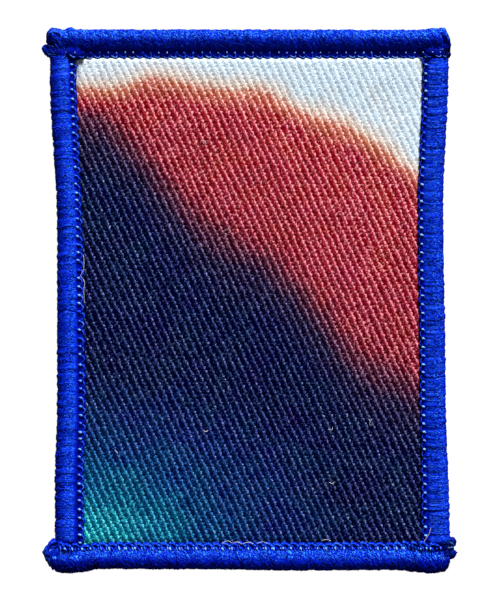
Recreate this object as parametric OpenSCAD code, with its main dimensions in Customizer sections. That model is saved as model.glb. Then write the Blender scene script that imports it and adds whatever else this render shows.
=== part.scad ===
// Clothing patch: printed twill cloth whose four edges are held in overedged thread borders.
// It lies on its back: the floor is z = 0, its face looks up, and its top edge points along +Y.

/* [Patch] */
// Width over the two side borders, before their sides bow inwards
patch_w = 59.6; // [50:0.2:70]
// Height over the top and bottom borders
patch_h = 81.2; // [70:0.2:95]
// How far the sides bow inwards between the corners
side_bow = 0.9; // [0:0.1:1.6]

/* [Borders] */
// Width of a border, from its outer edge to the tips of its chain row
border_w = 4.2; // [3.8:0.1:5]
// Width of the padded roll that the thread wraps form
roll_w = 3; // [2.6:0.1:3.2]
// Height of the roll above the surface that the patch lies on
roll_h = 2.6; // [2.3:0.1:3.2]
// Distance from one thread wrap to the next
stitch = 1.29; // [1.1:0.01:1.7]
// Depth of the groove between two wraps
wrap_groove = 0.14; // [0:0.02:0.2]
// Lean of the wraps on the top and bottom borders, in mm along for each mm across
wrap_lean = 0.5; // [0:0.05:0.7]

/* [Cloth] */
// Thickness of the printed twill
cloth_t = 1; // [1:0.05:1.2]
// Rise of the cloth in its middle, above its held edges
cloth_crown = 0.3; // [0:0.05:0.6]
// How far the cloth reaches in under a border's outer edge
cloth_inset = 1.1; // [0.9:0.1:1.6]

/* [Thread ends] */
// Size of the thread ends and knots against the ones modelled
end_size = 1; // [0.8:0.05:1.1]

/* [Hidden] */

// Clearance between two pieces that meet
gap = 0.12;
// Thickness of the thread layer under the cloth's edge and of the chain row over it
under_lip = 0.42;
over_lip = 0.38;
// Rounding of the chain row's tip
lip_round = 0.1;
// How far each chain loop stands out over the cloth past the row's narrow places
loop_reach = 0.16;
// Unevenness of a border's outer edge, and of its height as a share of it
uneven_edge = 0.04;
uneven_height = 0.02;

half_w = patch_w / 2;
half_h = patch_h / 2;
slot_low = under_lip;
slot_high = under_lip + cloth_t + 2 * gap;
cloth_low = slot_low + gap;

// Half lengths of the borders: the top and bottom ones cover the ends of the side ones
cross_half = half_w + 0.35;
side_top = half_h - border_w - 0.2;
side_low = half_h - border_w - 0.46;
// Length at each free end of the top and bottom borders that the rows below shape closely
end_zone = 1.3;

// Columns of a border's rows: place along it, step outwards of its outer edge from the patch's half
// size, extra width, and share of the roll's height
PLACE = 0;
OUT = 1;
WIDER = 2;
HIGH = 3;

// Top border, from left to right: its ends swell, then round off and leave room for the thread ends
TOP_ROWS = [
    [-cross_half - 0.42, -0.75, -3.3, 0.6],
    [-cross_half - 0.15, -0.35, -2.6, 0.8],
    [-cross_half + 0.15, 0.2, -1.95, 0.95],
    [-cross_half + 0.5, 0.3, -1.7, 1],
    [-cross_half + 0.8, 0.3, 0.1, 1.02],
    [-cross_half + 2.05, 0.04, 0, 0.97],
    [-cross_half + 3.2, 0.36, 0.3, 1.04],
    [-cross_half + 4.2, 0.06, 0, 1],
    [0, 0.04, 0, 1],
    [cross_half - 3.9, 0, -0.05, 1],
    [cross_half - 2.6, 0.26, 0.2, 1.05],
    [cross_half - 1.4, 0.3, 0.2, 1.04],
    [cross_half - 1.15, 0.3, -1, 1.03],
    [cross_half - 0.75, 0.22, -1.1, 1],
    [cross_half - 0.3, -0.5, -1.8, 0.88],
    [cross_half, -1.7, -3.1, 0.6],
];

// Bottom border, from right to left as seen from the face
BOTTOM_ROWS = [
    [-cross_half + 0.05, -1.2, -2.2, 0.66],
    [-cross_half + 0.3, -0.5, -0.9, 0.86],
    [-cross_half + 0.9, 0.08, 0.4, 1],
    [-cross_half + 2.4, 0.33, 0.66, 1.05],
    [-cross_half + 5.8, 0.08, 0.4, 1.02],
    [-cross_half + 7.5, -0.18, 0.14, 1],
    [-6, -0.1, 0.2, 1],
    [5, -0.28, 0, 1],
    [cross_half - 7.6, -0.34, -0.02, 1],
    [cross_half - 5, 0.16, 0.4, 1.04],
    [cross_half - 2.4, 0.33, 0.6, 1.06],
    [cross_half - 1.1, 0.04, 0.3, 1],
    [cross_half - 0.85, -0.06, 0.2, 0.96],
];

// Left border, from its lower end to its upper end
LEFT_ROWS = [
    [-side_low, -0.6, 0.05, 1],
    [-0.75 * side_low, -0.56, 0, 1],
    [-0.45 * side_low, -side_bow, 0, 1],
    [0.3 * side_top, -side_bow, 0, 1],
    [0.94 * side_top, 0.18, 0.05, 1.02],
    [side_top, 0.12, 0, 0.94],
];

// Right border, from its upper end to its lower end
RIGHT_ROWS = [
    [-side_top, -0.04, 0, 0.95],
    [-0.94 * side_top, -0.06, 0, 1],
    [-0.4 * side_top, -side_bow + 0.08, -0.05, 1],
    [0.35 * side_low, -side_bow + 0.44, 0, 1],
    [side_low, 0.18, 0.1, 1],
];

// Columns of the roll's outline, from its inner shoulder over its crown to its foot: shares of the
// roll's width in from its outer edge, and of its height
ROLL_OUTLINE = [[0.85, 0.87], [0.52, 1], [0.14, 0.79], [0, 0.43], [0.24, 0]];

// Triangles that close a border's end, as numbers of its cross-section's points
END_FACES = [[0, 1, 2], [0, 2, 11], [11, 2, 3], [11, 3, 4], [11, 4, 5], [11, 5, 6], [11, 6, 10],
    [10, 6, 7], [10, 7, 8], [10, 8, 9]];

// Value of one column at a place, eased from each row to the next
function eased(rows, place, column, i = 1) =
    place <= rows[i - 1][PLACE] || i == len(rows) ? rows[i - 1][column]
    : place >= rows[i][PLACE] ? eased(rows, place, column, i + 1)
    : let (share = (place - rows[i - 1][PLACE]) / (rows[i][PLACE] - rows[i - 1][PLACE]))
        rows[i - 1][column] + (rows[i][column] - rows[i - 1][column]) * share * share * (3 - 2 * share);

function clamp01(value) = max(0, min(1, value));

// Small unevenness of hand-guided sewing, from -1 to 1
function uneven(place, seed) = 0.6 * sin(97 * place + seed) + 0.4 * sin(231 * place + 2.3 * seed);

// Cross-section of a border: [in from its outer edge, height], from the chain row's tip over the
// roll and its foot to the slot that holds the cloth, or to a plain inner side past the cloth's corner
function border_section(width, high, wrap, slotted) =
    let (
        groove = wrap_groove * (1 - wrap),
        roll = roll_w * width / border_w,
        tip = width - (slotted ? loop_reach * (1 - wrap) : 0),
        slot_in = slotted ? cloth_inset - gap : width - 2 * lip_round,
        level = slotted ? 1 : high
    )
    concat(
        [
            [tip, level * slot_high],
            [tip - lip_round, level * (slot_high + over_lip)],
            [roll, level * (slot_high + over_lip) - groove]
        ],
        [for (point = ROLL_OUTLINE)
            [point[0] * roll + groove * (0.5 - point[0]) * point[1], point[1] * (roll_h * high - groove)]],
        [
            [roll, 0],
            [tip - lip_round, level * slot_low],
            [slot_in, level * slot_low],
            [slot_in, level * slot_high]
        ]
    );

// One ring of a border: its cross-section at a place, sheared by the wraps' lean
function border_ring(rows, place, wrap, lean, slotted, seed) =
    let (
        high = eased(rows, place, HIGH) * (1 + uneven_height * uneven(place, seed)),
        section = border_section(border_w + eased(rows, place, WIDER), high, wrap, slotted),
        middle = border_w / 2
    )
    [for (point = section)
        let (along = place + lean * (point[0] - middle))
        [along, eased(rows, along, OUT) + uneven_edge * uneven(along, seed + 50) - point[0], point[1]]];

// Border along X, its outer edge towards +Y at a half size, with a rib for each wrap. Its slot is as
// long as the cloth's edge, and the rings of its shaped ends lie at the rows' own places
module border(rows, half_size, lean, slot_half, shaped, seed) {
    first = rows[0][PLACE];
    last = rows[len(rows) - 1][PLACE];
    wraps = round((last - first - 2 * shaped) / stitch);
    step = (last - first - 2 * shaped) / (2 * wraps);
    lean_fade = 2.5;
    shallow = 0.5;
    places = concat(
        [for (row = rows) if (row[PLACE] < first + shaped - step / 2) [row[PLACE], shallow]],
        [for (i = [0 : 2 * wraps]) [first + shaped + i * step, i % 2]],
        [for (row = rows) if (row[PLACE] > last - shaped + step / 2) [row[PLACE], shallow]]
    );
    rings = [for (spot = places)
        let (from_end = min(spot[0] - first, last - spot[0]))
        border_ring(rows, spot[0], spot[1], lean * clamp01(from_end / lean_fade),
            abs(spot[0]) < slot_half, seed)];
    sides = len(rings[0]);
    end = (len(rings) - 1) * sides;
    walls = [for (i = [0 : len(rings) - 2], j = [0 : sides - 1], half = [0, 1])
        let (
            near = i * sides,
            far = near + sides,
            next = (j + 1) % sides
        )
        half == 0 ? [near + j, near + next, far + next] : [near + j, far + next, far + j]];
    first_face = [for (face = END_FACES) [face[2], face[1], face[0]]];
    last_face = [for (face = END_FACES) [for (corner = face) corner + end]];
    translate([0, half_size, 0])
        polyhedron([for (ring = rings) each ring], concat(walls, first_face, last_face));
}

// Outer edge of each side border at a height on the patch, measured from the middle line
function left_edge(y) = half_w + eased(LEFT_ROWS, y, OUT);
function right_edge(y) = half_w + eased(RIGHT_ROWS, -y, OUT);

// Printed twill: a thin sheet with a slight crown and slack, whose edges lie in the borders' slots
module ground_cloth() {
    columns = 14;
    rows = 18;
    bottom_step = 0.3;
    top = half_h - cloth_inset;
    low = -half_h + cloth_inset + bottom_step;
    held = border_w - cloth_inset;
    crown_reach = 14;
    slack = 0.1;
    slack_reach = 5;
    function sheet_point(i, j, z) =
        let (
            y = low + (top - low) * j / rows,
            left = -left_edge(y) + cloth_inset,
            right = right_edge(y) - cloth_inset,
            x = left + (right - left) * i / columns,
            inside = min(min(x - left, right - x), min(y - low, top - y)) - held,
            rise = clamp01(inside / crown_reach),
            ripple = slack * sin(9 * x + 4 * y) * clamp01(inside / slack_reach)
        )
        [x, y, z + cloth_crown * rise * (2 - rise) + ripple];
    line = columns + 1;
    count = line * (rows + 1);
    points = [for (z = [cloth_low, cloth_low + cloth_t], j = [0 : rows], i = [0 : columns])
        sheet_point(i, j, z)];
    faces = [for (j = [0 : rows - 1], i = [0 : columns - 1])
        let (a = j * line + i, b = a + 1, c = b + line, d = a + line)
        each [[a, b, c], [a, c, d], [a + count, c + count, b + count], [a + count, d + count, c + count]]];
    rim = concat(
        [for (i = [0 : columns]) i],
        [for (j = [1 : rows]) j * line + columns],
        [for (i = [1 : columns]) rows * line + columns - i],
        [for (j = [1 : rows - 1]) (rows - j) * line]
    );
    edges = [for (k = [0 : len(rim) - 1])
        let (a = rim[k], b = rim[(k + 1) % len(rim)])
        each [[a, a + count, b + count], [a, b + count, b]]];
    color("slateblue")
        polyhedron(points, concat(faces, edges));
}

module border_top() {
    color("mediumblue")
        border(TOP_ROWS, half_h, wrap_lean, half_w, end_zone, 20);
}

module border_bottom() {
    color("mediumblue")
        rotate([0, 0, 180])
            border(BOTTOM_ROWS, half_h, wrap_lean, half_w, end_zone, 75);
}

module border_left() {
    color("royalblue")
        rotate([0, 0, 90])
            border(LEFT_ROWS, half_w, 0, half_h, 0, 140);
}

module border_right() {
    color("royalblue")
        rotate([0, 0, -90])
            border(RIGHT_ROWS, half_w, 0, half_h, 0, 210);
}

// Columns of a thread lump's rows: place along it, half its width, half its height, height of its
// middle, and step of its middle to the left
LUMP_PLACE = 0;
LUMP_WIDE = 1;
LUMP_HIGH = 2;
LUMP_LEVEL = 3;
LUMP_SIDE = 4;

// Lump of thread from a spot on the patch, turned from +X: a ring for each row, closed at both ends
module thread_lump(spot, turn, rows) {
    sides = 10;
    points = [for (row = rows, k = [0 : sides - 1])
        let (angle = 360 * k / sides)
        [row[LUMP_PLACE], row[LUMP_SIDE] + row[LUMP_WIDE] * cos(angle),
            row[LUMP_LEVEL] + row[LUMP_HIGH] * sin(angle)]];
    walls = [for (i = [0 : len(rows) - 2], k = [0 : sides - 1], half = [0, 1])
        let (near = i * sides, far = near + sides, next = (k + 1) % sides)
        half == 0 ? [near + next, near + k, far + k] : [near + next, far + k, far + next]];
    first_face = [for (k = [0 : sides - 1]) k];
    last_face = [for (k = [0 : sides - 1]) len(rows) * sides - 1 - k];
    translate([spot[0], spot[1], 0])
        rotate([0, 0, turn])
            scale(end_size)
                polyhedron(points, concat(walls, [first_face, last_face]));
}

// Cut end of the top border's thread chain, at its left corner
module tail_top_left() {
    color("navy")
        thread_lump([-half_w + 0.5, half_h - 3.1], 180, [
            [0, 0.3, 0.4, 1.05, 0.55],
            [0.4, 0.58, 0.62, 1.05, 0.35],
            [0.95, 0.84, 0.8, 1, 0.1],
            [1.5, 0.72, 0.72, 0.95, -0.05],
            [1.85, 0.5, 0.5, 0.9, -0.1],
        ]);
}

// Melted end of the top border's thread chain, at its right corner
module tail_top_right() {
    color("midnightblue")
        thread_lump([half_w - 0.54, half_h - 3.63], 0, [
            [0, 0.4, 0.5, 1.15, 0],
            [0.4, 0.56, 0.7, 1.15, 0],
            [0.78, 0.56, 0.68, 1.1, 0],
            [0.94, 0.36, 0.45, 1.05, 0.05],
        ]);
}

// Cut end of the bottom border, at its left corner, which widens into a blunt ear
module tail_bottom_left() {
    color("navy")
        thread_lump([-half_w + 0.35, -half_h + 2.55], 180, [
            [0, 2.38, 1.2, 1.2, 0],
            [0.55, 1.95, 1.1, 1.15, -0.03],
            [1.1, 1.15, 0.85, 1.05, -0.1],
            [1.6, 0.4, 0.45, 0.95, -0.25],
        ]);
}

// Knot of the bottom border's chain, beside the right border's lower end
module knot_right_upper() {
    color("navy")
        thread_lump([half_w + 0.38, -half_h + 4.4], 0, [
            [0, 0.5, 0.5, 1.2, 0],
            [0.25, 0.72, 0.72, 1.2, 0],
            [0.55, 0.68, 0.68, 1.15, 0],
            [0.83, 0.4, 0.42, 1.1, 0],
        ]);
}

// Knot that ends the bottom border's chain, at its right corner
module knot_right_lower() {
    color("navy")
        thread_lump([half_w + 0.4, -half_h + 2.7], 0, [
            [0, 0.7, 0.7, 1.2, -0.1],
            [0.3, 0.82, 0.82, 1.15, -0.1],
            [0.65, 0.6, 0.65, 1.05, -0.02],
            [0.95, 0.28, 0.32, 1, 0.05],
        ]);
}

ground_cloth();
border_top();
border_bottom();
border_left();
border_right();
tail_top_left();
tail_top_right();
tail_bottom_left();
knot_right_upper();
knot_right_lower();
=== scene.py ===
"""Clothing patch: printed twill held in four overedged thread borders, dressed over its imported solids.

Shapes are worked out in millimetres and put into the meshes in metres. A border is worked out in a
frame of its own: it runs along X, its outer edge looks to +Y, and it is then turned into its place.
"""

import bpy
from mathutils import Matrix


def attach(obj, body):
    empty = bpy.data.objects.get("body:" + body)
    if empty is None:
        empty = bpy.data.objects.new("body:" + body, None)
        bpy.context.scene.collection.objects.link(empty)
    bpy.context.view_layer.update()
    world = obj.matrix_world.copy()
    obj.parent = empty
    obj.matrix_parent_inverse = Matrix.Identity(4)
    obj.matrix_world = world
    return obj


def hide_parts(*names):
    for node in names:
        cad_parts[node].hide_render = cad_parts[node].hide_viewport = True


bl_info = {
    "name": "Clothing Patch",
    "version": (1, 0, 0),
    "blender": (4, 5, 0),
    "location": "3D View > Sidebar > Patch",
    "description": "A printed twill patch with overedged thread borders",
    "category": "Object",
}

from math import cos, radians, sin

import bpy
import numpy as np

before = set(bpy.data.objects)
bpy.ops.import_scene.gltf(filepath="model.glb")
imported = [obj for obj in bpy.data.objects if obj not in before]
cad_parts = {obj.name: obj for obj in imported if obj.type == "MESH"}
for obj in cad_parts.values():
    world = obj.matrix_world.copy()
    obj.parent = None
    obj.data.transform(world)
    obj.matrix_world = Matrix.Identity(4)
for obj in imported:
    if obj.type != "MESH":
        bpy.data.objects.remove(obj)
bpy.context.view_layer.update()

MM = 0.001

# The patch's driving sizes in mm, as its solids have them
HALF_W = 29.8
HALF_H = 40.6
SIDE_BOW = 0.9
BORDER_W = 4.2
STITCH = 1.29
WRAP_LEAN = 0.5
LEAN_FADE = 2.5
CLOTH_LOW = 0.54
CLOTH_T = 1.0
CLOTH_CROWN = 0.3
CLOTH_INSET = 1.1
CLOTH_SLACK = 0.1
CLOTH_PUFF = 0.2
SLOT_LOW = 0.42
SLOT_HIGH = 1.66
SLOT_GAP = 0.12
UNEVEN_EDGE = 0.04
UNEVEN_HEIGHT = 0.02
CROSS_HALF = HALF_W + 0.35
SIDE_TOP = HALF_H - BORDER_W - 0.2
SIDE_LOW = HALF_H - BORDER_W - 0.46

# Columns of a border's rows: place along it, step outwards of its outer edge from the patch's half
# size, extra width, and share of the roll's height
PLACE, OUT, WIDER, HIGH = range(4)

TOP_ROWS = np.array([
    (-CROSS_HALF - 0.42, -0.75, -3.3, 0.6),
    (-CROSS_HALF - 0.15, -0.35, -2.6, 0.8),
    (-CROSS_HALF + 0.15, 0.2, -1.95, 0.95),
    (-CROSS_HALF + 0.5, 0.3, -1.7, 1),
    (-CROSS_HALF + 0.8, 0.3, 0.1, 1.02),
    (-CROSS_HALF + 2.05, 0.04, 0, 0.97),
    (-CROSS_HALF + 3.2, 0.36, 0.3, 1.04),
    (-CROSS_HALF + 4.2, 0.06, 0, 1),
    (0, 0.04, 0, 1),
    (CROSS_HALF - 3.9, 0, -0.05, 1),
    (CROSS_HALF - 2.6, 0.26, 0.2, 1.05),
    (CROSS_HALF - 1.4, 0.3, 0.2, 1.04),
    (CROSS_HALF - 1.15, 0.3, -1, 1.03),
    (CROSS_HALF - 0.75, 0.22, -1.1, 1),
    (CROSS_HALF - 0.3, -0.5, -1.8, 0.88),
    (CROSS_HALF, -1.7, -3.1, 0.6),
])

BOTTOM_ROWS = np.array([
    (-CROSS_HALF + 0.05, -1.2, -2.2, 0.66),
    (-CROSS_HALF + 0.3, -0.5, -0.9, 0.86),
    (-CROSS_HALF + 0.9, 0.08, 0.4, 1),
    (-CROSS_HALF + 2.4, 0.33, 0.66, 1.05),
    (-CROSS_HALF + 5.8, 0.08, 0.4, 1.02),
    (-CROSS_HALF + 7.5, -0.18, 0.14, 1),
    (-6, -0.1, 0.2, 1),
    (5, -0.28, 0, 1),
    (CROSS_HALF - 7.6, -0.34, -0.02, 1),
    (CROSS_HALF - 5, 0.16, 0.4, 1.04),
    (CROSS_HALF - 2.4, 0.33, 0.6, 1.06),
    (CROSS_HALF - 1.1, 0.04, 0.3, 1),
    (CROSS_HALF - 0.85, -0.06, 0.2, 0.96),
])

LEFT_ROWS = np.array([
    (-SIDE_LOW, -0.6, 0.05, 1),
    (-0.75 * SIDE_LOW, -0.56, 0, 1),
    (-0.45 * SIDE_LOW, -SIDE_BOW, 0, 1),
    (0.3 * SIDE_TOP, -SIDE_BOW, 0, 1),
    (0.94 * SIDE_TOP, 0.18, 0.05, 1.02),
    (SIDE_TOP, 0.12, 0, 0.94),
])

RIGHT_ROWS = np.array([
    (-SIDE_TOP, -0.04, 0, 0.95),
    (-0.94 * SIDE_TOP, -0.06, 0, 1),
    (-0.4 * SIDE_TOP, -SIDE_BOW + 0.08, -0.05, 1),
    (0.35 * SIDE_LOW, -SIDE_BOW + 0.44, 0, 1),
    (SIDE_LOW, 0.18, 0.1, 1),
])

# Each border: its rows, the half size that its outer edge lies at, its turn in degrees, the lean of
# its wraps, and the seed of its unevenness
RUNS = {
    "top": (TOP_ROWS, HALF_H, 0, WRAP_LEAN, 20),
    "bottom": (BOTTOM_ROWS, HALF_H, 180, WRAP_LEAN, 75),
    "left": (LEFT_ROWS, HALF_W, 90, 0, 140),
    "right": (RIGHT_ROWS, HALF_W, -90, 0, 210),
}

# Cross-section of a border's skin, from its tip on the cloth over the trough under the chain and the
# roll to the tip under the cloth, in mm at its plain width: in from the outer edge, height, and the
# shares of the strands' relief and of their light tone there. The lower shares of tone paint shade into
# the trough under the chain and onto the back under the cloth.
SECTION = np.array([
    (4.12, 1.60, 0, 0.2),
    (3.95, 1.74, 0.2, 0.3),
    (3.45, 1.73, 0.2, 0.35),
    (3.12, 1.78, 0.5, 0.45),
    (2.88, 1.94, 1, 0.8),
    (2.52, 2.17, 1, 1),
    (2.12, 2.4, 1, 1),
    (1.7, 2.54, 1, 1),
    (1.28, 2.56, 1, 1),
    (0.86, 2.4, 1, 1),
    (0.46, 2.05, 1, 1),
    (0.16, 1.57, 1, 1),
    (0.05, 1.08, 1, 0.9),
    (0.2, 0.52, 0.8, 0.8),
    (0.6, 0.15, 0.5, 0.7),
    (1.3, 0.08, 0.4, 0.7),
    (2.4, 0.08, 0.4, 0.7),
    (3.5, 0.14, 0.3, 0.5),
    (4.0, 0.32, 0, 0.3),
])
# Where the skin's points lie along that section, counted in the section's points
SKIN_LINES = np.concatenate([np.arange(0, 3, 1), np.arange(3, 13, 0.5), np.arange(13, 19, 1)])
# How many columns of the skin's points each strand has
STRAND_COLUMNS = 4
# Height in mm that parts the section's points over the cloth from those under it
ABOVE_CLOTH = 1.5
# The part of the section that loose fibres lie on, counted in its points
ROLL_START, ROLL_END = 4.2, 11.5
# How far a side border's skin runs on under the top and bottom ones, in mm
END_REACH = {"top": 0, "bottom": 0, "left": 0.75, "right": 0.75}
# Room at each end of a border without chain stitches, in mm
CHAIN_ROOM = {"top": 1.0, "bottom": 1.0, "left": -0.5, "right": -0.5}
# How far each border's inner edge lies past its solid's width, as place and step in mm
CHAIN_REACH = {
    "top": ((0, 0.16),),
    "bottom": ((0, -0.1),),
    "left": ((-28, 0.28), (-13, 0.16), (3, -0.12), (13, -0.36), (20, -0.34), (28, -0.15), (36, -0.15)),
    "right": ((-36, -0.3), (-19, -0.4), (-10, -0.34), (22, -0.3), (30, -0.12), (36, -0.1)),
}
# Height of a chain's loops over the ground, in mm
LOOP_LEVEL = {"top": 1.63, "bottom": 1.7, "left": 1.7, "right": 1.7}
# A border's chain. Columns: depth of its loops, and radius and tone of their thick strand; tone of the
# thin ply on it; then how far the needle's dots lie from the inner edge, and their length, radius and tone
# Its tones paint how the key light falls on each border's chain; from LIGHT_TONE up, painted highlights
CHAIN_SHAPE = {
    "top": (1.0, 0.14, 0.12, 0.84, 0.92, 0.24, 0.085, 0.89),
    "bottom": (1.1, 0.23, 0.5, 0.75, 1.0, 0.5, 0.14, 1.0),
    "left": (1.05, 0.17, 0.3, 0.72, 0.78, 0.42, 0.17, 0.97),
    "right": (1.0, 0.16, 0.12, 0.6, 0.62, 0.48, 0.17, 0.97),
}
# How much further out than its solid each border's thread bulges, in mm
BULGE = {"top": 0.14, "bottom": 0.11, "left": 0.05, "right": 0.17}
# A border's own tone, which paints how brightly the key light falls on it; how much lighter it grows
# from its middle to its inner edge, in painted light; and how much painted shade it gets where its
# glints aren't painted
BORDER_TONE = {
    "top": (0.45, 0, 0.1),
    "bottom": (0.4, 0, 0.16),
    "left": (0.52, 0.1, 0),
    "right": (0.56, 0.18, 0),
}
# Where the chains of the top and bottom borders climb onto the side borders, and how far, in mm
CORNER = 25.6
CORNER_RISE = 0.55
# How much higher the middle strands of a border's bundles lie than the outer ones, in mm
BUNDLE_ROUND = {"top": 0.045, "bottom": 0.04, "left": 0.038, "right": 0.035}
# How much each stitch bulges at a border's outer edge, in mm
EDGE_ROUND = {"top": 0.03, "bottom": 0.01, "left": 0.07, "right": 0.07}
# Share of tone a border's trough keeps under the chain, as painted shade, and how much it is filled up, in
# mm
TROUGH = {"top": (0.7, 0), "bottom": (0.8, 0.06), "left": (0.45, 0.04), "right": (0.6, 0)}
# Rubbing fluffs the strands in the middle of a border: the places in mm from its middle between which
# it ends, and the share of their full relief that they keep there
RUBBED = (17, 26)
STRANDS_SHOW = {"top": 0.3, "bottom": 0.15, "left": 0.5, "right": 0.38}
# The part of the section where a border's glints are painted, where the key light falls on it, counted
# in its points, and how much
GLINT_ZONE = {"top": (7.6, 12.3, 1), "bottom": (3.6, 6.6, 1), "left": (4.4, 7.4, 0.5), "right": (6.6, 10, 0.5)}

# Columns of a thread end's rows: place along it, half its width, half its height, height of its
# middle, and step of its middle to the left
THREAD_ENDS = {
    "tail_top_left": ((-HALF_W + 0.5, HALF_H - 2.95), 180, 6, 1.2, np.array([
        (-1.2, 0.6, 0.6, 1.2, 0.3),
        (0, 0.7, 0.6, 1.1, 0.3),
        (0.4, 0.85, 0.7, 1.1, 0.15),
        (0.95, 0.98, 0.8, 1, 0.1),
        (1.4, 0.84, 0.72, 0.95, -0.06),
        (1.85, 0.52, 0.5, 0.9, -0.24),
    ])),
    "tail_top_right": ((HALF_W - 0.54, HALF_H - 3.63), 0, 4, 0.5, np.array([
        (-1, 0.5, 0.5, 1.3, 0.2),
        (0, 0.6, 0.6, 1.25, 0.1),
        (0.4, 0.62, 0.7, 1.2, 0.05),
        (0.78, 0.56, 0.68, 1.1, 0),
        (0.94, 0.36, 0.45, 1.05, 0.05),
    ])),
    "tail_bottom_left": ((-HALF_W + 0.35, -HALF_H + 2.55), 180, 9, 0.35, np.array([
        (-1, 2.2, 1.2, 1.2, 0),
        (0, 2.38, 1.2, 1.2, 0),
        (0.55, 1.95, 1.1, 1.15, -0.03),
        (1.1, 1.15, 0.85, 1.05, -0.1),
        (1.6, 0.4, 0.45, 0.95, -0.25),
    ])),
    "knot_right_upper": ((HALF_W + 0.38, -HALF_H + 4.4), 0, 5, 2.5, np.array([
        (-1, 0.7, 0.8, 1.2, 0),
        (0, 0.7, 0.75, 1.2, 0),
        (0.3, 0.74, 0.74, 1.2, 0),
        (0.55, 0.68, 0.68, 1.15, 0),
        (0.83, 0.4, 0.42, 1.1, 0),
    ])),
    "knot_right_lower": ((HALF_W + 0.4, -HALF_H + 2.7), 0, 5, 2.5, np.array([
        (-1, 0.9, 1, 1.2, -0.1),
        (0, 0.86, 0.95, 1.2, -0.1),
        (0.3, 0.74, 0.84, 1.15, -0.08),
        (0.65, 0.44, 0.6, 1.05, 0),
        (0.95, 0.18, 0.3, 1, 0.05),
    ])),
}

# Tone above which a strand gets the painted highlight of the needle's arches
LIGHT_TONE = 0.84
# Strands that wrap a corner's end, in fans: how many, their radius and tone, and the points in mm that
# the first strand and the last one run through, or those of a single strand. The tones in part paint how
# light and shade fall on the corner, and those from LIGHT_TONE up are painted highlights.
FANS = {
    "tail_top_left": (
        (7, 0.11, 0.45,
         ((-31.0, 38.3, 1.2), (-30.2, 38.3, 1.9), (-29.3, 38.0, 2.1), (-28.3, 37.3, 1.95)),
         ((-30.8, 37.2, 0.9), (-30.2, 36.8, 1.5), (-29.3, 36.5, 2.1), (-28.1, 36.5, 2.2))),
        (6, 0.13, 0.25,
         ((-31.0, 37.9, 1.0), (-30.6, 37.3, 1.15), (-30.2, 36.8, 1.2), (-29.85, 36.2, 1.2)),
         ((-30.6, 38.2, 1.3), (-30.2, 37.6, 1.6), (-29.8, 37.0, 1.7), (-29.5, 36.4, 1.7))),
        (7, 0.1, 0.5,
         ((-30.4, 39.6, 1.3), (-29.9, 39.1, 2.1), (-29.2, 38.3, 2.15), (-28.4, 37.4, 1.95)),
         ((-29.5, 40.4, 2.0), (-28.9, 39.6, 2.6), (-28.2, 38.6, 2.35), (-27.4, 37.5, 1.95))),
        (6, 0.1, 0.5,
         ((-30.5, 39.4, 0.9), (-30.4, 38.8, 1.2), (-30.2, 38.2, 1.5), (-29.8, 37.6, 1.7)),
         ((-29.3, 39.6, 2.2), (-29.2, 38.9, 2.1), (-29.1, 38.3, 2.1), (-28.8, 37.4, 2.0))),
        (8, 0.1, 0.7,
         ((-30.4, 40.0, 1.3), (-30.1, 40.5, 1.9), (-29.3, 40.7, 2.1), (-28.4, 40.2, 2.55)),
         ((-30.4, 39.3, 1.0), (-30.1, 39.9, 2.2), (-29.4, 40.2, 2.6), (-28.4, 39.8, 2.65))),
    ),
    "tail_top_right": (
        (7, 0.1, 0.3,
         ((28.7, 40.2, 2.6), (29.5, 38.8, 2.3), (29.9, 37.6, 1.8), (29.9, 36.6, 1.0)),
         ((29.6, 40.4, 1.9), (30.0, 39.4, 1.7), (30.1, 38.4, 1.4), (30.1, 37.3, 1.0))),
        (1, 0.1, 0.88,
         ((28.1, 37.2, 2.0), (28.7, 37.6, 2.25), (29.3, 37.7, 2.2), (29.9, 37.3, 1.7))),
    ),
    "tail_bottom_left": (
        (13, 0.12, 0.2,
         ((-28.7, -36.0, 2.3), (-29.6, -36.3, 2.2), (-30.2, -36.9, 1.8), (-30.8, -37.5, 1.1)),
         ((-28.4, -39.8, 2.3), (-29.2, -39.8, 1.9), (-29.8, -39.5, 1.6), (-30.3, -38.8, 1.0))),
        (1, 0.11, 1.0,
         ((-29.6, -37.3, 2.1), (-29.9, -37.6, 2.12), (-29.9, -38.1, 2.05), (-29.6, -38.6, 1.95))),
    ),
    "knot_right_upper": (
        (7, 0.12, 0.4,
         ((29.5, -36.0, 2.2), (30.1, -35.7, 2.0), (30.7, -35.8, 1.6), (30.9, -36.3, 1.1)),
         ((29.5, -37.1, 2.2), (30.1, -37.2, 2.0), (30.6, -37.0, 1.6), (30.9, -36.6, 1.1))),
        (2, 0.07, 0.9,
         ((30.0, -35.9, 2.3), (30.2, -36.0, 2.3), (30.4, -36.2, 2.2), (30.6, -36.4, 2.0)),
         ((29.9, -37.3, 2.3), (30.1, -37.4, 2.3), (30.3, -37.3, 2.2), (30.5, -37.1, 2.0))),
    ),
    "knot_right_lower": (
        (8, 0.12, 0.35,
         ((29.2, -37.5, 2.4), (30.1, -37.4, 1.9), (30.8, -37.7, 1.5), (31.0, -38.0, 1.1)),
         ((29.2, -38.9, 2.4), (29.9, -38.9, 1.9), (30.5, -38.6, 1.5), (31.0, -38.2, 1.0))),
        (4, 0.15, 0.5,
         ((29.9, -36.5, 1.8), (30.15, -36.9, 1.8), (30.25, -37.3, 1.7), (30.2, -37.9, 1.6)),
         ((30.2, -36.6, 1.4), (30.5, -37.0, 1.4), (30.65, -37.4, 1.3), (30.6, -37.9, 1.2))),
    ),
}
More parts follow.
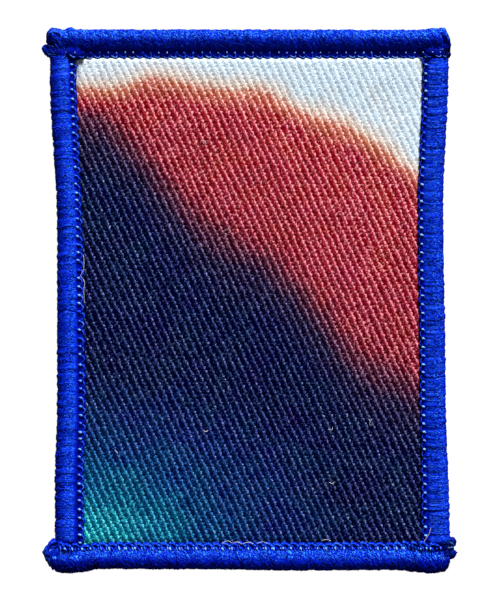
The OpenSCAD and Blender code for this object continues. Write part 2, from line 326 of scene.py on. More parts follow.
# Loose fibres that lie on the patch, in mm
LINT = (
    ((11.8, -19.2, 2.05), (12.1, -19.4, 2.16), (12.4, -19.3, 2.14), (12.5, -19.0, 2.04)),
    ((17.9, -17.8, 2.05), (18.1, -18.1, 2.15), (18.0, -18.5, 2.14), (18.3, -18.7, 2.04)),
    ((-6.9, -19.4, 2.05), (-6.7, -19.6, 2.15), (-6.4, -19.6, 2.15), (-6.2, -19.4, 2.04)),
    ((-20.2, -22.4, 2.0), (-20.0, -22.6, 2.1), (-19.8, -22.8, 2.1), (-19.8, -23.1, 1.98)),
    ((12.0, -27.2, 2.02), (12.2, -27.4, 2.12), (12.5, -27.4, 2.12), (12.7, -27.2, 2.0)),
    ((-7.4, 23.6, 2.05), (-7.2, 24.0, 2.16), (-6.7, 24.0, 2.18), (-6.5, 23.5, 2.06)),
    ((27.2, -34.0, 2.3), (26.95, -34.85, 2.35), (26.5, -35.6, 2.3), (25.75, -36.75, 2.15)),
    ((-24.93, 6.9, 1.85), (-24.83, 5.7, 1.9), (-24.95, 4.5, 1.9), (-25.4, 3.8, 1.95)),
    ((-25.4, 3.8, 1.95), (-24.74, 2.8, 1.9), (-24.86, 1.6, 1.9), (-24.77, -0.6, 1.85)),
    ((-4.2, -36.45, 2.0), (-3.6, -36.1, 2.05), (-3.1, -36.05, 2.05), (-2.5, -36.4, 2.0)),
    ((-2.5, -36.4, 2.0), (-2.0, -36.2, 2.05), (-1.6, -36.25, 2.05), (-1.1, -36.55, 2.0)),
    ((-1.1, -36.55, 2.0), (-0.5, -36.3, 2.05), (0.1, -36.25, 2.05), (0.6, -36.5, 2.0)),
    ((1.2, -36.45, 2.0), (1.7, -36.2, 2.05), (2.2, -36.2, 2.05), (2.8, -36.45, 2.0)),
    ((10.8, -36.0, 2.0), (11.3, -35.85, 2.05), (11.8, -35.85, 2.05), (12.2, -36.05, 2.0)),
)
# Where a strand's rings lie along its points, counted in them, and its share of its radius there
STRAND_AT = np.linspace(0, 3, 13)
STRAND_TAPER = 0.6 + 0.4 * np.minimum(1, 6 * np.sin(np.pi * STRAND_AT / 3))
UP = np.array([0.0, 0.0, 1.0])

# A pit of the twill, seen square to its row: half its width in repeats of the twill, half its length in
# ends, and how many ends its square line runs on for each repeat
PIT_ACROSS, PIT_ALONG, PIT_SHEAR = 0.26, 0.37, 3.3
# Half the width and height of the part of the cloth with fine cells, in mm
FINE_HALF_W, FINE_HALF_H = 25.9, 36.75
# How much of the cloth each border covers, over how many mm the cloth beside it rises to its crown and
# comes to its full slack, and the heights between which it comes to puff up more
COVERED = 3.1
CROWN_REACH = 14
SLACK_REACH = 5
PUFF_RISE = (28, 35)
# The cloth's back keeps one grid line in so many
BACK_STEP = 8

# Half the width of the studio's floor and its level, and the camera's place, in mm
FLOOR_HALF = 5000.0
FLOOR_LEVEL = -0.02
CAMERA_PLACE = np.array([0.075, 0.105, 502])
# Settings of a node that steps smoothly from one value to another
SMOOTH = {"interpolation_type": "SMOOTHSTEP"}


def linear(hex_colour):
    """Turns an sRGB hex colour to linear red, green and blue."""
    parts = [int(hex_colour[i : i + 2], 16) / 255 for i in (1, 3, 5)]
    return tuple(c / 12.92 if c <= 0.04045 else ((c + 0.055) / 1.055) ** 2.4 for c in parts)


def smooth_share(value, low, high):
    """Smooth step from 0 at low to 1 at high."""
    share = np.clip((value - low) / (high - low), 0, 1)
    return share * share * (3 - 2 * share)


def eased(rows, place, column):
    """Value of one column at each place, eased from each row to the next by a smooth step."""
    spots, values = rows[:, PLACE], rows[:, column]
    after = np.clip(np.searchsorted(spots, place), 1, len(spots) - 1)
    step = smooth_share(place, spots[after - 1], spots[after])
    return values[after - 1] + (values[after] - values[after - 1]) * step


def uneven(place, seed):
    """Small unevenness of hand-guided sewing, from -1 to 1: two sine waves along the border."""
    return 0.6 * np.sin(np.radians(97 * place + seed)) + 0.4 * np.sin(np.radians(231 * place + 2.3 * seed))


def smooth_line(points, at):
    """Smooth curve through points, read where at counts them: a Catmull-Rom cubic between each two."""
    last = len(points) - 1
    low = np.clip(np.floor(at).astype(int), 0, last - 1)
    t = (at - low)[..., None]
    a, b = points[np.maximum(low - 1, 0)], points[low]
    c, d = points[low + 1], points[np.minimum(low + 2, last)]
    return 0.5 * (2 * b + (c - a) * t + (2 * a - 5 * b + 4 * c - d) * t**2 + (3 * b - 3 * c + d - a) * t**3)


def unit(vectors):
    """The vectors at length one."""
    return vectors / np.maximum(np.linalg.norm(vectors, axis=-1, keepdims=True), 1e-12)


def turned(points, turn, half_size):
    """Puts points of a border's own frame into the patch: outwards by its half size, then turned."""
    x, y = points[..., 0], points[..., 1] + half_size
    c, s = cos(radians(turn)), sin(radians(turn))
    return np.stack([c * x - s * y, s * x + c * y, points[..., 2]], axis=-1)


def tubes(paths, across, wide, high, sides, tone, fluff_and_glints=0.4):
    """Closed tubes round paths of shape (tubes, rings, 3). A ring is an ellipse square to its path: its
    wide radius lies along the part of across that is square to the path. Returns the points, the side
    quads and end faces, each point's tone and share of painted glints, and each corner's length along in
    mm and share around."""
    count, rings = paths.shape[:2]
    along = unit(np.gradient(paths, axis=1))
    side = unit(across - (across * along).sum(-1, keepdims=True) * along)
    up = np.cross(along, side)
    angle = 2 * np.pi * np.arange(sides) / sides
    ring = (
        paths[:, :, None]
        + (wide[..., None] * np.cos(angle))[..., None] * side[:, :, None]
        + (high[..., None] * np.sin(angle))[..., None] * up[:, :, None]
    )
    corner = np.arange(count * rings * sides).reshape(count, rings, sides)
    after = np.roll(corner, -1, axis=2)
    quads = np.stack([corner[:, :-1], after[:, :-1], after[:, 1:], corner[:, 1:]], axis=-1).reshape(-1, 4)
    ends = np.concatenate([corner[:, 0, ::-1], corner[:, -1]])
    step = np.linalg.norm(np.diff(paths, axis=1), axis=-1)
    length = np.concatenate([np.zeros((count, 1)), np.cumsum(step, axis=1)], axis=1)
    left = np.broadcast_to(np.arange(sides) / sides, (count, rings - 1, sides))
    right = left + 1 / sides
    near, far = length[:, :-1, None] + 0 * left, length[:, 1:, None] + 0 * left
    quad_uv = np.stack([near, left, near, right, far, right, far, left], axis=-1).reshape(-1, 2)
    end_uv = np.zeros((ends.size, 2))
    shape = (count, rings * sides)
    values = [np.broadcast_to(np.reshape(value, (-1, 1)), shape) for value in (tone, fluff_and_glints)]
    values = np.stack(values, axis=-1).reshape(-1, 2)
    return [ring.reshape(-1, 3), [quads, ends], values, np.concatenate([quad_uv, end_uv])]


def joined(parts):
    """One set of mesh arrays out of several made by tubes."""
    points, faces, values, uvs = [], [], [], []
    first = 0
    for part_points, part_faces, part_values, part_uv in parts:
        points.append(part_points)
        faces.extend(group + first for group in part_faces)
        values.append(part_values)
        uvs.append(part_uv)
        first += len(part_points)
    return [np.concatenate(points), faces, np.concatenate(values), np.concatenate(uvs)]


def new_piece(name, points, faces, uv, values):
    """Puts arrays into a mesh object: points in mm, groups of faces with like corner counts, UV maps by
    name, and values at the points by name."""
    mesh = bpy.data.meshes.new(name)
    corners = np.concatenate([group.ravel() for group in faces])
    counts = np.concatenate([np.full(len(group), group.shape[1]) for group in faces])
    mesh.vertices.add(len(points))
    mesh.vertices.foreach_set("co", (points * MM).ravel())
    mesh.loops.add(len(corners))
    mesh.loops.foreach_set("vertex_index", corners.astype(np.int32))
    mesh.polygons.add(len(counts))
    mesh.polygons.foreach_set("loop_start", (np.cumsum(counts) - counts).astype(np.int32))
    mesh.polygons.foreach_set("use_smooth", np.ones(len(counts), bool))
    mesh.update(calc_edges=True)
    for map_name, coordinates in uv.items():
        layer = mesh.uv_layers.new(name=map_name)
        layer.uv.foreach_set("vector", coordinates.astype(np.float32).ravel())
    for value_name, value in values.items():
        attribute = mesh.attributes.new(value_name, "FLOAT", "POINT")
        attribute.data.foreach_set("value", np.asarray(value, np.float32))
    if mesh.validate():
        raise RuntimeError(f"{name} has faces that Blender can't keep")
    piece = bpy.data.objects.new(name, mesh)
    bpy.context.scene.collection.objects.link(piece)
    return piece


def thread_piece(name, points, faces, values, uv):
    """Puts the arrays of strands into a mesh object, with the tone of their thread and its share of
    painted glints.
    """
    tone, fluff_and_glints = values.T
    return new_piece(name, points, faces, {"thread": uv}, {"tone": tone, "fluff_and_glints": fluff_and_glints})


def dress(piece, material, replaced=()):
    """Gives a piece its material and its record slot, and sets it on the patch in place of its nodes."""
    piece.data.materials.append(material)
    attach(piece, "root")
    if replaced:
        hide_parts(*replaced)
    return piece


def node(tree, kind, *values, inputs=(), stops=(), out=None, **settings):
    """Adds a shader node with its settings and links, and returns its output. The values are numbers,
    colours or other nodes' outputs: first those of its inputs in order, then those of inputs by name.
    The stops of a colour ramp are places with their colours."""
    made = tree.nodes.new("ShaderNode" + kind)
    for name, setting in settings.items():
        setattr(made, name, setting)
    in_order = [socket for socket in made.inputs if socket.enabled]
    by_name = [(made.inputs[name], value) for name, value in dict(inputs).items()]
    for socket, value in (*zip(in_order, values), *by_name):
        if isinstance(value, bpy.types.NodeSocket):
            tree.links.new(value, socket)
        elif socket.type == "RGBA":
            socket.default_value = (*value, 1)
        else:
            socket.default_value = value
    elements = made.color_ramp.elements if stops else ()
    while len(elements) < len(stops):
        elements.new(0.5)
    for element, (place, colour) in zip(elements, stops):
        element.position = place
        element.color = (*colour, 1)
    return made.outputs[out] if out else next((socket for socket in made.outputs if socket.enabled), None)


def new_material(name):
    """A material with an empty node tree, its Principled shader and its output."""
    made = bpy.data.materials.new(name)
    made.use_nodes = True
    tree = made.node_tree
    tree.nodes.clear()
    shader = node(tree, "BsdfPrincipled").node
    node(tree, "OutputMaterial", shader.outputs["BSDF"])
    return made, tree, shader


def rayon_thread(settings, name, darkening):
    """Rayon embroidery thread, loosely twisted: saturated in the shade, with painted glints in short silky
    dashes along each strand where its filaments would catch the light. Its tone carries painted light
    and shade. Cut, knotted and heat-sealed ends are darkened."""
    made, tree, shader = new_material(name)
    length, around, _ = node(tree, "SeparateXYZ", node(tree, "UVMap", uv_map="thread")).node.outputs
    tone = node(tree, "Attribute", attribute_name="tone", out="Fac")
    # Share of painted glints, read from the points
    fluff_and_glints = node(tree, "Attribute", attribute_name="fluff_and_glints", out="Fac")
    # 9 filament bundles show round a strand, which turn once in 3 mm
    turn = node(tree, "Math", length, 1 / 3, around, operation="MULTIPLY_ADD")
    filament = node(tree, "Math", turn, 2 * np.pi * 9, operation="MULTIPLY")
    filament = node(tree, "Math", filament, operation="SINE")

    def dashes(for_each_mm, for_each_turn):
        """Noise in dashes along the strand, so many to a millimetre of it and so many round it."""
        along = node(tree, "Math", length, for_each_mm, operation="MULTIPLY")
        across = node(tree, "Math", turn, for_each_turn, operation="MULTIPLY")
        place = node(tree, "CombineXYZ", along, across)
        return node(tree, "TexNoise", inputs={"Vector": place, "Scale": 1.0, "Detail": 2.0})

    # Dashes about 0.4 mm long and a fifth of a strand wide
    fine = dashes(2.4, 9.0)
    # Painted glints are a fraction of a strand wide too, and drawn three quarters of one wide so they show
    glints = dashes(2.8, 2.7)
    ridges = node(tree, "Math", filament, 0.06, operation="MULTIPLY")
    streaks = node(tree, "Math", fine, 0.5, operation="SUBTRACT")
    streaks = node(tree, "Math", streaks, 0.75, ridges, operation="MULTIPLY_ADD")
    lit = node(tree, "MapRange", tone, 0.0, 0.3, **SMOOTH)
    streaks = node(tree, "Math", streaks, lit, tone, operation="MULTIPLY_ADD")
    # Painted shade: dark flecks beside the painted glints
    gaps = node(tree, "MapRange", glints, 0.34, 0.47, -0.22, 0.0, **SMOOTH)
    streaks = node(tree, "Math", gaps, fluff_and_glints, streaks, operation="MULTIPLY_ADD")
    # The ramp turns the tone, with its painted light and shade, into colour
    colour = node(tree, "ValToRGB", streaks, stops=[
        (0.0, linear("#00022e")),
        (0.14, settings.thread_deep),
        (0.5, settings.thread_colour),
        (0.76, settings.thread_lit),
        (1.0, linear("#70a2f8")),
    ])
    # Painted highlight: glints mixed in where they are painted, less on the darkest tones
    glint = node(tree, "MapRange", glints, 0.52, 0.63, **SMOOTH)
    glint = node(tree, "Math", glint, fluff_and_glints, operation="MULTIPLY")
    shown = node(tree, "MapRange", tone, 0.05, 0.35, 0.0, 0.85, **SMOOTH)
    glint = node(tree, "Math", glint, shown, operation="MULTIPLY")
    colour = node(tree, "Mix", glint, colour, settings.thread_glint, data_type="RGBA")
    if darkening:
        colour = node(tree, "Mix", darkening, colour, linear("#03041a"), data_type="RGBA")
    # Painted highlight: strands from LIGHT_TONE up, the needle's arches and a few at the corners, are mixed
    # towards this pale blue
    painted_highlight = node(tree, "MapRange", tone, LIGHT_TONE, 1.0, 0.0, 0.85, **SMOOTH)
    colour = node(tree, "Mix", painted_highlight, colour, linear("#7cb8fc"), data_type="RGBA")
    tree.links.new(colour, shader.inputs["Base Color"])
    shader.inputs["Roughness"].default_value = 0.5
    shader.inputs["IOR"].default_value = 1.5
    shader.inputs["Specular IOR Level"].default_value = 0.1
    shader.inputs["Specular Tint"].default_value = (*linear("#4a86ff"), 1)
    shader.inputs["Anisotropic"].default_value = 0.5
    tangent = node(tree, "Tangent", direction_type="UV_MAP", uv_map="thread")
    tree.links.new(tangent, shader.inputs["Tangent"])
    height = node(tree, "Math", filament, 0.2, fine, operation="MULTIPLY_ADD")
    bump = node(tree, "Bump", inputs={"Strength": 0.8, "Distance": 0.04 * MM, "Height": height})
    tree.links.new(bump, shader.inputs["Normal"])
    return made


def wool_lint(name):
    """Loose fibre shed by other cloth: pale, soft and matt, with clouds 0.3 mm across."""
    made, tree, shader = new_material(name)
    place = node(tree, "TexCoord", out="Object")
    cloudy = node(tree, "TexNoise", inputs={"Vector": place, "Scale": 3000.0, "Detail": 1.0})
    stops = [(0.3, linear("#8f8a9c")), (0.7, linear("#f2eef2"))]
    tree.links.new(node(tree, "ValToRGB", cloudy, stops=stops), shader.inputs["Base Color"])
    shader.inputs["Roughness"].default_value = 0.8
    return made


def border_width(run, place):
    """Width of a border's solid at each place."""
    return BORDER_W + eased(RUNS[run][0], place, WIDER)


def chain_reach(run, place):
    """Step of a border's inner edge past its solid's width at each place."""
    places, steps = np.array(CHAIN_REACH[run]).T
    return np.interp(place, places, steps)


def border_height(run, place):
    """Share of the roll's height at each place; past a side border's solid it sinks under the others."""
    rows, seed = RUNS[run][0], RUNS[run][4]
    past = np.clip(np.maximum(rows[0, PLACE] - place, place - rows[-1, PLACE]), 0, None)
    return eased(rows, place, HIGH) * (1 + UNEVEN_HEIGHT * uneven(place, seed)) * (1 - 0.5 * past**2)


def corner_climb(run, place):
    """How far a top or bottom border's inner side climbs where it lies on a side border, in mm."""
    if run not in ("top", "bottom"):
        return np.zeros_like(place)
    return CORNER_RISE * smooth_share(np.abs(place), CORNER - 0.6, CORNER + 0.9)


def set_in_border(run, along, inward, level):
    """Puts a border's lines into the patch: sheared by the wraps' lean, which fades at its ends, and
    measured in from its outer edge, with its unevenness."""
    rows, half_size, turn, lean, seed = RUNS[run]
    from_end = np.minimum(along - rows[0, PLACE], rows[-1, PLACE] - along)
    along = along + lean * np.clip(from_end / LEAN_FADE, 0, 1) * (inward - BORDER_W / 2)
    across = eased(rows, along, OUT) + UNEVEN_EDGE * uneven(along, seed + 50) - inward
    points = np.stack(np.broadcast_arrays(along, across, level), axis=-1)
    return turned(points, turn, half_size)


def section_at(run, place, at):
    """A border's section at each place, read where at counts its points: how far in and how high it
    lies, scaled to the border's width and height and bulged outwards."""
    line = smooth_line(SECTION, at)
    bulge = BULGE[run] * (1 - smooth_share(line[..., 0], 1.2, 3.2))
    inward = (line[..., 0] - bulge) * border_width(run, place) / BORDER_W
    return inward, line[..., 1] * border_height(run, place)


def border_skin(run, settings, draw):
    """Skin of a border's wraps, closed round the cloth's slot. Its lines follow the strands from the
    needle line over the roll to the back: the section, lifted square to itself by the strands' round
    backs, by each stitch's rounded bundle and by a little chance; strands also stray sideways."""
    rows = RUNS[run][0]
    first, last = rows[0, PLACE] - END_REACH[run], rows[-1, PLACE] + END_REACH[run]
    number = settings.strands
    strands = round((last - first) / STITCH) * number
    column = np.arange(STRAND_COLUMNS * strands + 1) / STRAND_COLUMNS
    place = first + (last - first) * column / strands

    def chance(size):
        """A small random value of each strand, run evenly into the next one's."""
        return size * np.interp(column - 0.5, np.arange(strands), draw.normal(0, 1, strands))[:, None]

    # The section in its place, filled up under the chain and raised where it climbs at the corners
    line = smooth_line(SECTION, SKIN_LINES)
    far_in, relief, lit = line[:, 0], line[:, 2], line[:, 3]
    above = line[:, 1] > ABOVE_CLOTH
    keep, fill = TROUGH[run]
    trough = smooth_share(far_in, 2.7, 3.2) * above
    # Painted shade: the trough under the chain keeps only a share of its tone
    lit = lit * (1 + (keep - 1) * trough)
    reach = chain_reach(run, place)[:, None]
    inward, level = section_at(run, place[:, None], SKIN_LINES[None])
    inward = inward + reach * smooth_share(far_in, 3.1, 3.9)
    inner = smooth_share(far_in, 2.6, 3.4) * above
    climb = corner_climb(run, place)[:, None] * inner + fill * trough
    level = level + climb * np.where(np.arange(len(line)) > 0, 1, 0.6)
    slope = unit(np.stack([np.gradient(inward, axis=1), np.gradient(level, axis=1)], -1))
    share = np.linspace(0, 1, len(line))
    # Round backs of the strands, and of the bundle of them that each stitch lays
    near_end = smooth_share(np.abs(place), *RUBBED)[:, None]
    show = STRANDS_SHOW[run] + (1 - STRANDS_SHOW[run]) * near_end
    back = show * (np.abs(np.sin(np.pi * column)) ** 0.7 - 0.5)[:, None]
    bundle = (2 * np.mod(column / number, 1) - 1)[:, None]
    wave = np.sin(2 * np.pi * (1.5 * share + chance(0.3)))
    lift = settings.strand_height / MM * back * (1 + 0.4 * wave) + chance(0.03)
    deeper = 1 + 0.6 * smooth_share(far_in, 1.4, 2.9) * above
    stitch = np.round(column / number).astype(int)
    tightness = draw.uniform(0.35, 1.35, strands // number + 2)[stitch][:, None]
    edge = EDGE_ROUND[run] * (1 - smooth_share(far_in, 0.4, 1.1))
    groove = (BUNDLE_ROUND[run] * deeper * show + edge) * tightness
    lift = (lift + groove * (0.6 - bundle**2)) * relief
    # Each strand strays by two slow waves along it, and all of them bow a little on the roll
    stray = chance(0.08) * np.sin(2 * np.pi * (share + chance(0.4))) + chance(0.08) * (2 * share - 0.6)
    stray = stray + 0.16 * np.sin(2 * np.pi * np.clip(share - 0.1, 0, 0.5))
    along = place[:, None] + stray * relief
    inward = inward + slope[..., 1] * lift
    level = np.maximum(level - slope[..., 0] * lift, 0.0)
    # The slot that the cloth's edge lies in
    seat = CLOTH_INSET - SLOT_GAP
    slot = np.array([(4.05, SLOT_LOW), (seat, SLOT_LOW), (seat, SLOT_HIGH), (4.08, SLOT_HIGH)])
    flat = np.minimum(eased(rows, place, HIGH), 1)[:, None]
    tip = slot[:, 0] * (border_width(run, place) / BORDER_W)[:, None] + reach
    slot_in = np.where(slot[:, 0] > 2, tip, np.minimum(slot[:, 0], tip - 0.1))
    inward = np.concatenate([inward, slot_in], axis=1)
    level = np.concatenate([level, np.minimum(slot[:, 1] * flat, level[:, :1])], axis=1)
    along = np.concatenate([along, np.broadcast_to(place[:, None], slot_in.shape)], axis=1)
    points = set_in_border(run, along, inward, level)
    # Painted light and shade in the tone: each border's own tone and its tilt across the section, painted
    # highlights on the strands' backs, and painted shade between the bundles, where its glints aren't
    # painted (more so towards its ends) and at a side border's ends under the others. The tone also
    # differs a little at random.
    low, high, much = GLINT_ZONE[run]
    fluff_and_glints = smooth_share(SKIN_LINES, low - 0.8, low + 0.8)
    fluff_and_glints = fluff_and_glints * (1 - smooth_share(SKIN_LINES, high - 1, high + 0.8))
    tone, painted_light_tilt, painted_shade = BORDER_TONE[run]
    tone = tone + painted_light_tilt * (far_in / 1.6 - 1) + 0.16 * back + chance(0.06) + 0.04 * wave
    tone = tone - painted_shade * (1 + near_end) * (1 - fluff_and_glints) - 1.8 * groove * np.abs(bundle) ** 6
    if END_REACH[run]:
        tone = tone * smooth_share(np.minimum(place - first, last - place), 0, 1)[:, None]
    # The trough and the back keep their share of the tone; the slot under the cloth gets full painted shade
    tone = np.concatenate([np.clip(tone * lit, 0, 0.8), np.zeros(slot_in.shape)], axis=1)
    rings, sides = tone.shape
    corner = np.arange(rings * sides).reshape(rings, sides)
    after = np.roll(corner, -1, axis=1)
    quads = np.stack([corner[:-1], corner[1:], after[1:], after[:-1]], axis=-1).reshape(-1, 4)
    ends = np.stack([corner[0], corner[-1, ::-1]])
    length = np.concatenate([[0], np.cumsum(np.linalg.norm(np.diff(line[:, :2], axis=0), axis=1))])
    length = np.concatenate([length, length[-1] + np.arange(1, sides - len(length) + 1)])
    # Half of each strand's round shows, and strands differ in where their fibres start
    turn = column[:, None] * 0.5 + np.floor(column)[:, None] * 0.37 + 0 * length
    uv = np.stack([np.broadcast_to(length, turn.shape), turn], axis=-1).reshape(-1, 2)
    uv = np.concatenate([uv[quads.ravel()], uv[ends.ravel()]])
    fluff_and_glints = np.concatenate([0.1 + (much - 0.1) * fluff_and_glints, np.zeros(len(slot))])
    values = np.stack(np.broadcast_arrays(tone, fluff_and_glints), axis=-1).reshape(-1, 2)
    return [points.reshape(-1, 3), [quads, ends], values, uv]


def loose_fibres(run, settings, draw):
    """Fine fibres that stand off the roll: short tubes along its section that lean a little more or
    less than the wraps. One in three is a light one, a painted glint, in the part where the border's
    glints are painted. A border has fewer of them the weaker its painted glints are."""
    rows = RUNS[run][0]
    first, last = rows[0, PLACE] + 0.6, rows[-1, PLACE] - 0.3
    count = round((last - first) * settings.loose_fibres * GLINT_ZONE[run][2])
    light = np.arange(count)[:, None] % 3 == 0
    low = np.where(light, GLINT_ZONE[run][0], ROLL_START)
    high = np.where(light, GLINT_ZONE[run][1], ROLL_END - 0.8)
    start = draw.uniform(low, high)
    end = np.minimum(start + draw.uniform(0.5, 1.4, (count, 1)), ROLL_END)
    share = np.linspace(0, 1, 5)
    place = draw.uniform(first, last, (count, 1))
    inward, level = section_at(run, place, start + (end - start) * share)
    slope = unit(np.stack([np.gradient(inward, axis=1), np.gradient(level, axis=1)], -1))
    lift = draw.uniform(0.05, 0.09, (count, 1)) * np.array([-0.4, 1, 1.2, 1, -0.4])
    along = place + draw.normal(0, 0.22, (count, 1)) * (share - 0.5) * 2
    paths = set_in_border(run, along, inward + slope[..., 1] * lift, level - slope[..., 0] * lift)
    radius = draw.uniform(0.03, 0.05, (count, 1)) * np.array([0.5, 1, 1, 1, 0.5])
    tone = BORDER_TONE[run][0] + draw.normal(0, 0.06, count) + light[:, 0] * draw.uniform(0.1, 0.5, count)
    fluff_and_glints = np.where(light[:, 0], 1.0, 0.3)
    return tubes(paths, np.array([0.3, 0.2, 1.0]), radius, radius, 4, np.clip(tone, 0.1, 0.8), fluff_and_glints)


def chain_row(run, draw):
    """Chain that locks the wraps along the cloth. Each stitch has a loop that reaches in over the cloth
    as a half ellipse, with a thin ply on it, and where two loops meet the needle's thread comes up as a
    small arch, bright with a painted highlight. The bottom border has two more, fainter arches in each
    stitch."""
    rows = RUNS[run][0]
    room = CHAIN_ROOM[run]
    first, last = rows[0, PLACE] + room, rows[-1, PLACE] - room
    stitches = round((last - first) / STITCH)
    pitch = (last - first) / stitches
    stitch = first + (np.arange(stitches) + 0.5) * pitch + draw.normal(0, 0.05, stitches)
    stitch = stitch[:, None]
    edge = border_width(run, stitch) + chain_reach(run, stitch)
    climb = corner_climb(run, stitch)
    depth, thick, loop_tone, ply_tone, dot_in, length, radius, dot_tone = CHAIN_SHAPE[run]

    def stray(size):
        """A small random value for each stitch."""
        return draw.normal(0, size, (stitches, 1))

    def laid(along, inward, level, radius, tone, sides=6, vary=0.08):
        """Tubes along lines of the border, a tenth flatter than they are wide."""
        paths = set_in_border(run, along, inward, level + climb)
        side = np.cross(UP, unit(np.gradient(paths, axis=1)))
        full = np.broadcast_to(radius, paths.shape[:2])
        return tubes(paths, side, full, 0.9 * full, sides, np.clip(tone + stray(vary), 0, 1))

    t = np.linspace(0, 1, 11)
    bow = np.sin(np.pi * t)
    thin = 0.75 + 0.25 * np.minimum(1, 5 * bow)
    along = stitch + 0.5 * pitch * (2 * t - 1) + 0.12 * bow + stray(0.03)
    inward = edge - depth + (depth - thick + stray(0.04)) * bow**0.6
    level = LOOP_LEVEL[run] + 0.07 * bow + 0.06 * t + stray(0.02)
    ply = slice(2, 9)
    ply_in = inward[:, ply] - 0.2 * thick + stray(0.04)
    ply_radius = 0.07 * np.sin(np.pi * t[1:8] / 0.8) ** 0.5
    parts = [
        laid(along, inward, level, thick * thin, loop_tone),
        laid(along[:, ply], ply_in, level[:, ply] + 0.75 * thick, ply_radius, ply_tone, 5),
    ]
    t = np.linspace(0, 1, 8)
    roll = SECTION[11::-1]

    def needle(place, length, radius, tone):
        """The needle's arches over the roll's inner side, at a share of the pitch from each stitch."""
        inward = edge - dot_in + length * (0.45 - t)
        under = np.interp(inward * BORDER_W / border_width(run, stitch), roll[:, 0], roll[:, 1])
        level = np.maximum(under * border_height(run, stitch), 1.8) + 0.06 + 0.14 * np.sin(np.pi * t)
        full = 0.35 + 0.65 * np.sin(np.pi * np.clip(t * 1.15, 0, 1)) ** 0.7
        along = stitch + place * pitch + 0.14 * t**2 + stray(0.05)
        return laid(along, inward, level, radius * full * (1 + stray(0.1)), tone, vary=0.12)

    parts.append(needle(-0.5, length + stray(0.06), radius, dot_tone))
    if run == "bottom":
        parts.append(needle(-0.2, 0.8 * length + stray(0.06), 0.75 * radius, 0.8 * dot_tone))
        parts.append(needle(0.22, 1.2 * length + stray(0.06), 0.9 * radius, 0.55 * dot_tone))
    return joined(parts)


def thread_end(end, draw):
    """Cut or sealed end of a sewing chain: ellipses along its rows, domed at both ends, with a groove
    between each two of the strands that wind round it."""
    spot, turn, strands, twist, rows = THREAD_ENDS[end]
    t = np.linspace(0, 1, 31)
    place = rows[0, 0] - 0.12 + (rows[-1, 0] - rows[0, 0] + 0.24) * t
    dome = np.sqrt(np.clip(1 - (2 * np.abs(t - 0.5)) ** 9, 0.02, 1))
    angle = np.linspace(0, 2 * np.pi, strands * 6, endpoint=False)
    wind = strands * (angle / (2 * np.pi) + twist * place[:, None] / 2 + 0.04 * np.sin(4 * place[:, None]))
    groove = np.abs(np.sin(np.pi * wind)) ** 0.6
    size = dome[:, None] * (0.84 + 0.2 * groove + 0.04 * np.sin(2.7 * wind + 3 * place[:, None]))
    side = eased(rows, place, 4)[:, None] + size * eased(rows, place, 1)[:, None] * np.cos(angle)
    level = eased(rows, place, 3)[:, None] + size * eased(rows, place, 2)[:, None] * np.sin(angle)
    c, s = cos(radians(turn)), sin(radians(turn))
    x, y = place[:, None] + 0 * side, side
    points = np.stack([spot[0] + c * x - s * y, spot[1] + s * x + c * y, np.maximum(level, 0)], axis=-1)
    rings, sides = size.shape
    corner = np.arange(rings * sides).reshape(rings, sides)
    after = np.roll(corner, -1, axis=1)
    quads = np.stack([corner[:-1], after[:-1], after[1:], corner[1:]], axis=-1).reshape(-1, 4)
    ends = np.stack([corner[0, ::-1], corner[-1]])
    uv = np.stack([np.broadcast_to(place[:, None], wind.shape), 0.5 * wind], axis=-1).reshape(-1, 2)
    uv = np.concatenate([uv[quads.ravel()], uv[ends.ravel()]])
    # Painted shade: the tone is lower in the grooves between the strands
    tone = np.clip(0.25 + 0.3 * groove + draw.normal(0, 0.05, size.shape), 0, 0.8)
    values = np.stack([tone, np.full(tone.shape, 0.4)], axis=-1).reshape(-1, 2)
    lump = [points.reshape(-1, 3), [quads, ends], values, uv]
    return joined([lump] + [fan(draw, *group) for group in FANS[end]])


def fan(draw, number, radius, tone, first, last=None):
    """Strands spread evenly between a first and a last one, or a single one: each is a smooth curve
    through its points, which stray a little."""
    share = ((np.arange(number) + 0.5) / number)[:, None, None]
    through = np.array(first) * (1 - share) + np.array(last or first) * share
    through = through + draw.normal(0, 0.06, through.shape)
    paths = np.stack([smooth_line(points, STRAND_AT) for points in through])
    thick = radius * draw.uniform(0.85, 1.1, (number, 1)) * STRAND_TAPER
    if tone < LIGHT_TONE:
        tone = np.clip(tone + draw.normal(0, 0.2, number), 0.05, 0.8)
    return tubes(paths, UP, thick, thick, 8, tone)


def lint_fibres():
    """Thin loose fibres, each a smooth curve through its points."""
    paths = np.stack([smooth_line(np.array(points), STRAND_AT) for points in LINT])
    radius = np.broadcast_to(0.035 * STRAND_TAPER, paths.shape[:2])
    return tubes(paths, UP, radius, radius, 6, 0.5)


def edge_at(rows, height):
    """Outer edge of a side border at a height on the patch, in mm from the middle line."""
    return HALF_W + eased(rows, height, OUT)


def twill_relief(ends, picks):
    """Height of the twill's face, from 0 in its pits to 1 on its wales. Each warp end has a pit in every
    fourth pick, one pick lower for each end to the right, so rows of pits run down to the right. A wale
    rises steeply beside a row of pits to its crest, and then falls slowly to the next row."""
    row = -(ends + picks - 0.5) / 4
    below = np.mod(row, 1)
    past = np.mod(row + 0.5, 1) - 0.5
    along = np.mod(ends + PIT_SHEAR * past, 1) - 0.5
    pit = 1 - smooth_share(np.hypot(past / PIT_ACROSS, along / PIT_ALONG), 0.3, 1.3)
    wale = 0.7 + 0.3 * smooth_share(below, 0, 0.3) * (1 - smooth_share(below, 0.32, 1))
    return wale * (1 - pit)


